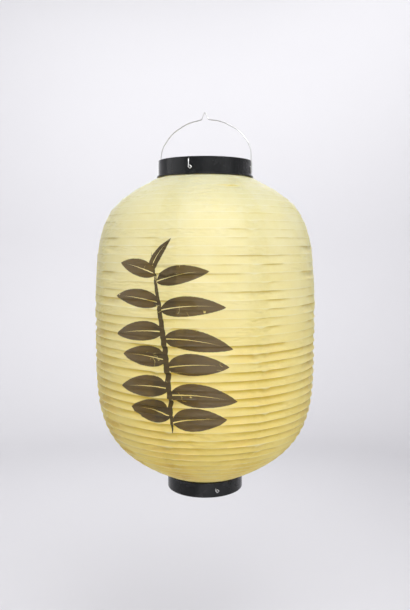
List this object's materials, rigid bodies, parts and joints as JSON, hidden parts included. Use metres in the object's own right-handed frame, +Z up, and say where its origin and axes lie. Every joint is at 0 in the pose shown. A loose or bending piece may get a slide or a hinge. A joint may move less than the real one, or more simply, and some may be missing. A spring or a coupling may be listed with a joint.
{
  "type": "accordion paper lantern",
  "caption": "Hanging barrel-shaped paper lantern on wire hoops that folds flat between two plastic rings, with a swinging wire bail.",
  "frame": {"origin": "inside of the peak in the bail, where a hook carries the lantern", "axes": "+Z up along the body, +X along the bail hinge axis, -Y towards the front stretcher"},
  "size_m": [0.36, 0.36, 0.6186],
  "materials": {
    "wire": "satin",
    "ring": "gloss",
    "paper": "satin",
    "hoop": "satin"
  },
  "bodies": {
    "bail": {"bail_wire": "wire"},
    "upper": {"top_ring": "ring", "stretcher_wire_front": "wire", "stretcher_wire_back": "wire", "cover_panel_1": "paper", "cover_panel_2": "paper", "cover_panel_3": "paper", "cover_panel_4": "paper", "cover_panel_5": "paper", "cover_panel_6": "paper", "cover_panel_7": "paper", "cover_panel_8": "paper"},
    "lower": {"bottom_ring": "ring"},
    "hoop_01": {"rib_hoop_01": "hoop"},
    "hoop_02": {"rib_hoop_02": "hoop"},
    "hoop_03": {"rib_hoop_03": "hoop"},
    "hoop_04": {"rib_hoop_04": "hoop"},
    "hoop_05": {"rib_hoop_05": "hoop"},
    "hoop_06": {"rib_hoop_06": "hoop"},
    "hoop_07": {"rib_hoop_07": "hoop"},
    "hoop_08": {"rib_hoop_08": "hoop"},
    "hoop_09": {"rib_hoop_09": "hoop"},
    "hoop_10": {"rib_hoop_10": "hoop"},
    "hoop_11": {"rib_hoop_11": "hoop"},
    "hoop_12": {"rib_hoop_12": "hoop"},
    "hoop_13": {"rib_hoop_13": "hoop"},
    "hoop_14": {"rib_hoop_14": "hoop"},
    "hoop_15": {"rib_hoop_15": "hoop"},
    "hoop_16": {"rib_hoop_16": "hoop"},
    "hoop_17": {"rib_hoop_17": "hoop"},
    "hoop_18": {"rib_hoop_18": "hoop"},
    "hoop_19": {"rib_hoop_19": "hoop"},
    "hoop_20": {"rib_hoop_20": "hoop"},
    "hoop_21": {"rib_hoop_21": "hoop"},
    "hoop_22": {"rib_hoop_22": "hoop"},
    "hoop_23": {"rib_hoop_23": "hoop"},
    "hoop_24": {"rib_hoop_24": "hoop"},
    "hoop_25": {"rib_hoop_25": "hoop"},
    "hoop_26": {"rib_hoop_26": "hoop"},
    "hoop_27": {"rib_hoop_27": "hoop"},
    "hoop_28": {"rib_hoop_28": "hoop"},
    "hoop_29": {"rib_hoop_29": "hoop"},
    "hoop_30": {"rib_hoop_30": "hoop"},
    "hoop_31": {"rib_hoop_31": "hoop"},
    "hoop_32": {"rib_hoop_32": "hoop"},
    "hoop_33": {"rib_hoop_33": "hoop"},
    "hoop_34": {"rib_hoop_34": "hoop"},
    "hoop_35": {"rib_hoop_35": "hoop"},
    "hoop_36": {"rib_hoop_36": "hoop"},
    "hoop_37": {"rib_hoop_37": "hoop"},
    "hoop_38": {"rib_hoop_38": "hoop"},
    "hoop_39": {"rib_hoop_39": "hoop"},
    "hoop_40": {"rib_hoop_40": "hoop"},
    "hoop_41": {"rib_hoop_41": "hoop"},
    "hoop_42": {"rib_hoop_42": "hoop"},
    "hoop_43": {"rib_hoop_43": "hoop"},
    "hoop_44": {"rib_hoop_44": "hoop"},
    "hoop_45": {"rib_hoop_45": "hoop"}
  },
  "joints": [
    {"name": "bail_swing", "type": "hinge", "parent": "bail", "child": "upper", "pos_m": [0, 0, -0.0874], "axis": [1, 0, 0], "range_deg": [-78, 78]},
    {"name": "collapse", "type": "slide", "parent": "upper", "child": "lower", "axis": [0, 0, 1], "range_m": [0, 0.41], "deforming": ["cover_panel_1", "cover_panel_2", "cover_panel_3", "cover_panel_4", "cover_panel_5", "cover_panel_6", "cover_panel_7", "cover_panel_8", "stretcher_wire_front", "stretcher_wire_back"]},
    {"name": "hoop_01_rise", "type": "slide", "parent": "upper", "child": "hoop_01", "axis": [0, 0, 1], "range_m": [0, 0.0057]},
    {"name": "hoop_02_rise", "type": "slide", "parent": "upper", "child": "hoop_02", "axis": [0, 0, 1], "range_m": [0, 0.01081]},
    {"name": "hoop_03_rise", "type": "slide", "parent": "upper", "child": "hoop_03", "axis": [0, 0, 1], "range_m": [0, 0.01614]},
    {"name": "hoop_04_rise", "type": "slide", "parent": "upper", "child": "hoop_04", "axis": [0, 0, 1], "range_m": [0, 0.0218]},
    {"name": "hoop_05_rise", "type": "slide", "parent": "upper", "child": "hoop_05", "axis": [0, 0, 1], "range_m": [0, 0.02797]},
    {"name": "hoop_06_rise", "type": "slide", "parent": "upper", "child": "hoop_06", "axis": [0, 0, 1], "range_m": [0, 0.03488]},
    {"name": "hoop_07_rise", "type": "slide", "parent": "upper", "child": "hoop_07", "axis": [0, 0, 1], "range_m": [0, 0.04268]},
    {"name": "hoop_08_rise", "type": "slide", "parent": "upper", "child": "hoop_08", "axis": [0, 0, 1], "range_m": [0, 0.05138]},
    {"name": "hoop_09_rise", "type": "slide", "parent": "upper", "child": "hoop_09", "axis": [0, 0, 1], "range_m": [0, 0.06081]},
    {"name": "hoop_10_rise", "type": "slide", "parent": "upper", "child": "hoop_10", "axis": [0, 0, 1], "range_m": [0, 0.07073]},
    {"name": "hoop_11_rise", "type": "slide", "parent": "upper", "child": "hoop_11", "axis": [0, 0, 1], "range_m": [0, 0.08096]},
    {"name": "hoop_12_rise", "type": "slide", "parent": "upper", "child": "hoop_12", "axis": [0, 0, 1], "range_m": [0, 0.09137]},
    {"name": "hoop_13_rise", "type": "slide", "parent": "upper", "child": "hoop_13", "axis": [0, 0, 1], "range_m": [0, 0.10188]},
    {"name": "hoop_14_rise", "type": "slide", "parent": "upper", "child": "hoop_14", "axis": [0, 0, 1], "range_m": [0, 0.11245]},
    {"name": "hoop_15_rise", "type": "slide", "parent": "upper", "child": "hoop_15", "axis": [0, 0, 1], "range_m": [0, 0.12306]},
    {"name": "hoop_16_rise", "type": "slide", "parent": "upper", "child": "hoop_16", "axis": [0, 0, 1], "range_m": [0, 0.13369]},
    {"name": "hoop_17_rise", "type": "slide", "parent": "upper", "child": "hoop_17", "axis": [0, 0, 1], "range_m": [0, 0.14433]},
    {"name": "hoop_18_rise", "type": "slide", "parent": "upper", "child": "hoop_18", "axis": [0, 0, 1], "range_m": [0, 0.15499]},
    {"name": "hoop_19_rise", "type": "slide", "parent": "upper", "child": "hoop_19", "axis": [0, 0, 1], "range_m": [0, 0.16565]},
    {"name": "hoop_20_rise", "type": "slide", "parent": "upper", "child": "hoop_20", "axis": [0, 0, 1], "range_m": [0, 0.17631]},
    {"name": "hoop_21_rise", "type": "slide", "parent": "upper", "child": "hoop_21", "axis": [0, 0, 1], "range_m": [0, 0.18698]},
    {"name": "hoop_22_rise", "type": "slide", "parent": "upper", "child": "hoop_22", "axis": [0, 0, 1], "range_m": [0, 0.19764]},
    {"name": "hoop_23_rise", "type": "slide", "parent": "upper", "child": "hoop_23", "axis": [0, 0, 1], "range_m": [0, 0.20831]},
    {"name": "hoop_24_rise", "type": "slide", "parent": "upper", "child": "hoop_24", "axis": [0, 0, 1], "range_m": [0, 0.21898]},
    {"name": "hoop_25_rise", "type": "slide", "parent": "upper", "child": "hoop_25", "axis": [0, 0, 1], "range_m": [0, 0.22965]},
    {"name": "hoop_26_rise", "type": "slide", "parent": "upper", "child": "hoop_26", "axis": [0, 0, 1], "range_m": [0, 0.24032]},
    {"name": "hoop_27_rise", "type": "slide", "parent": "upper", "child": "hoop_27", "axis": [0, 0, 1], "range_m": [0, 0.25098]},
    {"name": "hoop_28_rise", "type": "slide", "parent": "upper", "child": "hoop_28", "axis": [0, 0, 1], "range_m": [0, 0.26164]},
    {"name": "hoop_29_rise", "type": "slide", "parent": "upper", "child": "hoop_29", "axis": [0, 0, 1], "range_m": [0, 0.27229]},
    {"name": "hoop_30_rise", "type": "slide", "parent": "upper", "child": "hoop_30", "axis": [0, 0, 1], "range_m": [0, 0.28293]},
    {"name": "hoop_31_rise", "type": "slide", "parent": "upper", "child": "hoop_31", "axis": [0, 0, 1], "range_m": [0, 0.29353]},
    {"name": "hoop_32_rise", "type": "slide", "parent": "upper", "child": "hoop_32", "axis": [0, 0, 1], "range_m": [0, 0.30407]},
    {"name": "hoop_33_rise", "type": "slide", "parent": "upper", "child": "hoop_33", "axis": [0, 0, 1], "range_m": [0, 0.31451]},
    {"name": "hoop_34_rise", "type": "slide", "parent": "upper", "child": "hoop_34", "axis": [0, 0, 1], "range_m": [0, 0.32478]},
    {"name": "hoop_35_rise", "type": "slide", "parent": "upper", "child": "hoop_35", "axis": [0, 0, 1], "range_m": [0, 0.33478]},
    {"name": "hoop_36_rise", "type": "slide", "parent": "upper", "child": "hoop_36", "axis": [0, 0, 1], "range_m": [0, 0.34438]},
    {"name": "hoop_37_rise", "type": "slide", "parent": "upper", "child": "hoop_37", "axis": [0, 0, 1], "range_m": [0, 0.35346]},
    {"name": "hoop_38_rise", "type": "slide", "parent": "upper", "child": "hoop_38", "axis": [0, 0, 1], "range_m": [0, 0.36192]},
    {"name": "hoop_39_rise", "type": "slide", "parent": "upper", "child": "hoop_39", "axis": [0, 0, 1], "range_m": [0, 0.36973]},
    {"name": "hoop_40_rise", "type": "slide", "parent": "upper", "child": "hoop_40", "axis": [0, 0, 1], "range_m": [0, 0.37688]},
    {"name": "hoop_41_rise", "type": "slide", "parent": "upper", "child": "hoop_41", "axis": [0, 0, 1], "range_m": [0, 0.38343]},
    {"name": "hoop_42_rise", "type": "slide", "parent": "upper", "child": "hoop_42", "axis": [0, 0, 1], "range_m": [0, 0.38944]},
    {"name": "hoop_43_rise", "type": "slide", "parent": "upper", "child": "hoop_43", "axis": [0, 0, 1], "range_m": [0, 0.39497]},
    {"name": "hoop_44_rise", "type": "slide", "parent": "upper", "child": "hoop_44", "axis": [0, 0, 1], "range_m": [0, 0.40011]},
    {"name": "hoop_45_rise", "type": "slide", "parent": "upper", "child": "hoop_45", "axis": [0, 0, 1], "range_m": [0, 0.40487]}
  ],
  "couplings": [
    {"joint": "hoop_01_rise", "follows": "collapse", "ratio": 0.013899},
    {"joint": "hoop_02_rise", "follows": "collapse", "ratio": 0.026372},
    {"joint": "hoop_03_rise", "follows": "collapse", "ratio": 0.039368},
    {"joint": "hoop_04_rise", "follows": "collapse", "ratio": 0.053159},
    {"joint": "hoop_05_rise", "follows": "collapse", "ratio": 0.068219},
    {"joint": "hoop_06_rise", "follows": "collapse", "ratio": 0.085071},
    {"joint": "hoop_07_rise", "follows": "collapse", "ratio": 0.1041},
    {"joint": "hoop_08_rise", "follows": "collapse", "ratio": 0.12532},
    {"joint": "hoop_09_rise", "follows": "collapse", "ratio": 0.14831},
    {"joint": "hoop_10_rise", "follows": "collapse", "ratio": 0.17251},
    {"joint": "hoop_11_rise", "follows": "collapse", "ratio": 0.19746},
    {"joint": "hoop_12_rise", "follows": "collapse", "ratio": 0.22284},
    {"joint": "hoop_13_rise", "follows": "collapse", "ratio": 0.24848},
    {"joint": "hoop_14_rise", "follows": "collapse", "ratio": 0.27426},
    {"joint": "hoop_15_rise", "follows": "collapse", "ratio": 0.30014},
    {"joint": "hoop_16_rise", "follows": "collapse", "ratio": 0.32607},
    {"joint": "hoop_17_rise", "follows": "collapse", "ratio": 0.35203},
    {"joint": "hoop_18_rise", "follows": "collapse", "ratio": 0.37802},
    {"joint": "hoop_19_rise", "follows": "collapse", "ratio": 0.40402},
    {"joint": "hoop_20_rise", "follows": "collapse", "ratio": 0.43003},
    {"joint": "hoop_21_rise", "follows": "collapse", "ratio": 0.45604},
    {"joint": "hoop_22_rise", "follows": "collapse", "ratio": 0.48206},
    {"joint": "hoop_23_rise", "follows": "collapse", "ratio": 0.50808},
    {"joint": "hoop_24_rise", "follows": "collapse", "ratio": 0.5341},
    {"joint": "hoop_25_rise", "follows": "collapse", "ratio": 0.56012},
    {"joint": "hoop_26_rise", "follows": "collapse", "ratio": 0.58614},
    {"joint": "hoop_27_rise", "follows": "collapse", "ratio": 0.61215},
    {"joint": "hoop_28_rise", "follows": "collapse", "ratio": 0.63815},
    {"joint": "hoop_29_rise", "follows": "collapse", "ratio": 0.66413},
    {"joint": "hoop_30_rise", "follows": "collapse", "ratio": 0.69007},
    {"joint": "hoop_31_rise", "follows": "collapse", "ratio": 0.71593},
    {"joint": "hoop_32_rise", "follows": "collapse", "ratio": 0.74164},
    {"joint": "hoop_33_rise", "follows": "collapse", "ratio": 0.76711},
    {"joint": "hoop_34_rise", "follows": "collapse", "ratio": 0.79215},
    {"joint": "hoop_35_rise", "follows": "collapse", "ratio": 0.81653},
    {"joint": "hoop_36_rise", "follows": "collapse", "ratio": 0.83994},
    {"joint": "hoop_37_rise", "follows": "collapse", "ratio": 0.86209},
    {"joint": "hoop_38_rise", "follows": "collapse", "ratio": 0.88274},
    {"joint": "hoop_39_rise", "follows": "collapse", "ratio": 0.90177},
    {"joint": "hoop_40_rise", "follows": "collapse", "ratio": 0.91922},
    {"joint": "hoop_41_rise", "follows": "collapse", "ratio": 0.93519},
    {"joint": "hoop_42_rise", "follows": "collapse", "ratio": 0.94984},
    {"joint": "hoop_43_rise", "follows": "collapse", "ratio": 0.96335},
    {"joint": "hoop_44_rise", "follows": "collapse", "ratio": 0.97588},
    {"joint": "hoop_45_rise", "follows": "collapse", "ratio": 0.98748}
  ]
}
